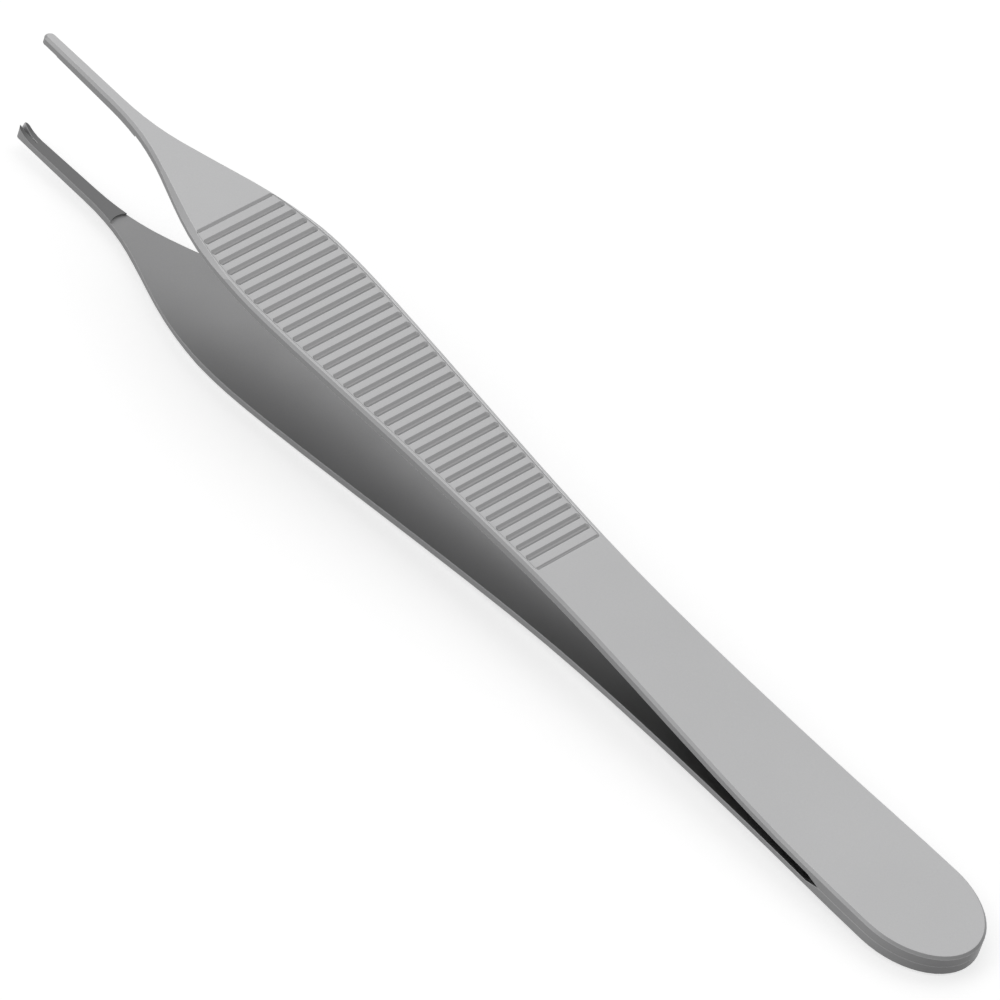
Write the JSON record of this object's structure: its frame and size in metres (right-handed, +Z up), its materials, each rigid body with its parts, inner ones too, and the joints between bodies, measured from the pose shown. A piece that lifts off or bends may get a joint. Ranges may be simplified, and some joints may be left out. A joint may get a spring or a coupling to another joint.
{
  "type": "thumb forceps",
  "caption": "Thumb forceps with bowed spring arms welded together at the heel, cross-grooved finger grips and slender tips with interlocking teeth.",
  "frame": {"origin": "on the table under the middle of the bounding box, with the forceps lying on the outer face of its lower arm", "axes": "+X from the tips to the heel, +Y across the arms, +Z up from the table"},
  "size_m": [0.1202, 0.0124, 0.0137],
  "materials": {
    "upper_arm_steel": "satin",
    "lower_arm_steel": "satin"
  },
  "bodies": {
    "root": {"upper_arm": "upper_arm_steel", "lower_arm": "lower_arm_steel"}
  },
  "joints": []
}
